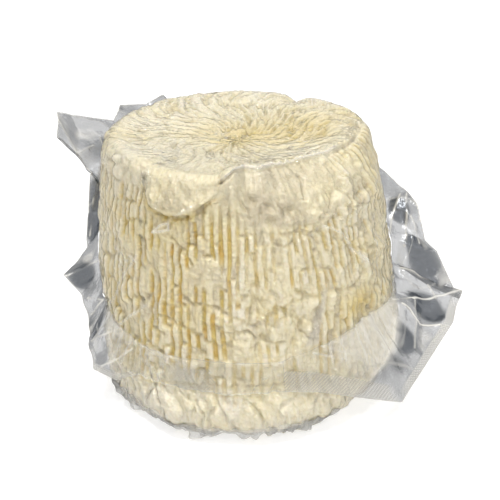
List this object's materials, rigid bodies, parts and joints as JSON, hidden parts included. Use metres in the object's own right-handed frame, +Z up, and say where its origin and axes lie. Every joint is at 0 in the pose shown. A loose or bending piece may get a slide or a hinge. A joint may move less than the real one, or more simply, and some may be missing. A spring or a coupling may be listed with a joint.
{
  "type": "vacuum-packed moulded ricotta round",
  "caption": "Basket-moulded ricotta round, ribbed and folded over at the rim, sealed in a clear vacuum bag whose creased margin stands out around it.",
  "frame": {"origin": "centre of the round's flat foot, on the surface it stands on", "axes": "+Z up the round's axis, -Y to the front where the bag's seal lies folded flat, +X to the right where the bag's large free corner stands out"},
  "size_m": [0.2042, 0.1571, 0.1267],
  "materials": {
    "ricotta": "moist cream-coloured curd with yellow grooves, seen through film that clings to it",
    "clear_film": "clear, glossy, creased vacuum bag film with a milky embossed heat seal"
  },
  "bodies": {
    "root": {"sealed_bag": "ricotta"}
  },
  "joints": []
}
